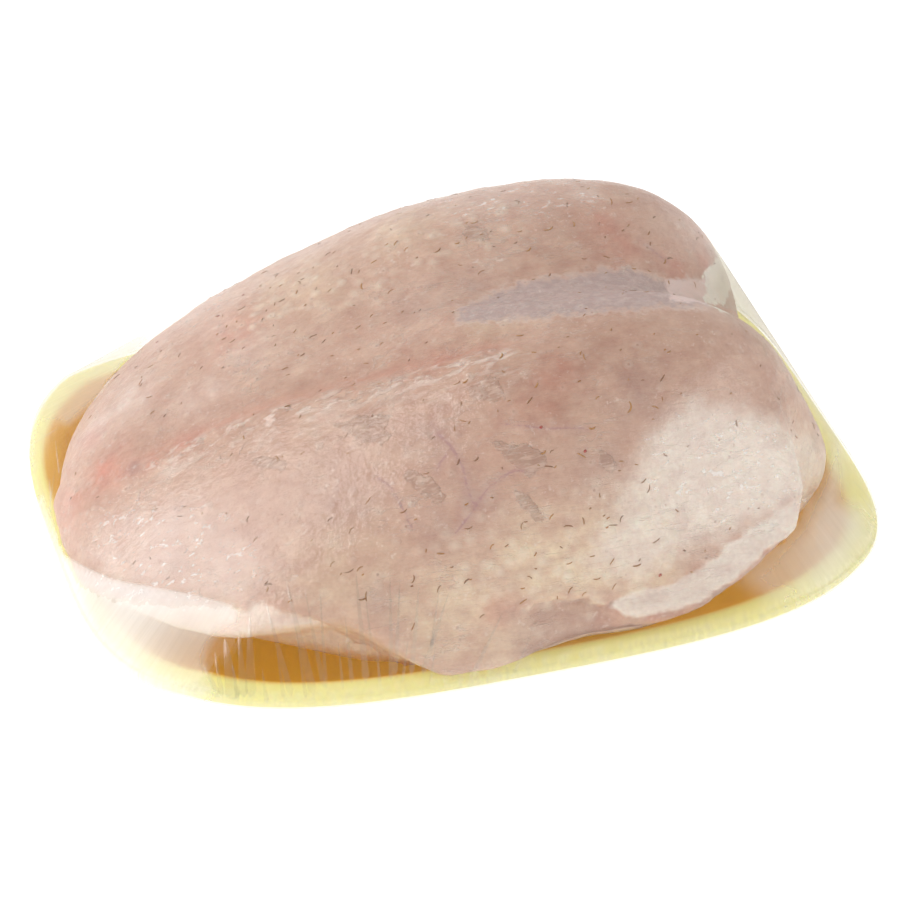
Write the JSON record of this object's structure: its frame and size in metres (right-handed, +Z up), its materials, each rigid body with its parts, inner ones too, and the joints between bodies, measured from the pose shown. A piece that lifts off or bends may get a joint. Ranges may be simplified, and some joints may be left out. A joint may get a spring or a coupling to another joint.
{
  "type": "tray-packed whole chicken breast",
  "caption": "Whole raw chicken breast, bone in and skin on, resting in a shallow pale yellow foam tray that is tightly overwrapped with clear stretch film.",
  "frame": {"origin": "on the table under the middle of the pack: the centre of the bottom of the bounding box", "axes": "+X towards the neck end of the breast, along the tray's long side; +Y towards the far long side; +Z up"},
  "size_m": [0.235, 0.1856, 0.0885],
  "materials": {
    "foam": "pale yellow expanded foam with a fine skin, matt",
    "chicken_skin": "moist raw skin with a soft sheen",
    "stretch_film": "clear, thin and glossy"
  },
  "bodies": {
    "root": {"tray": "foam", "breast": "chicken_skin", "film": "stretch_film"}
  },
  "joints": []
}
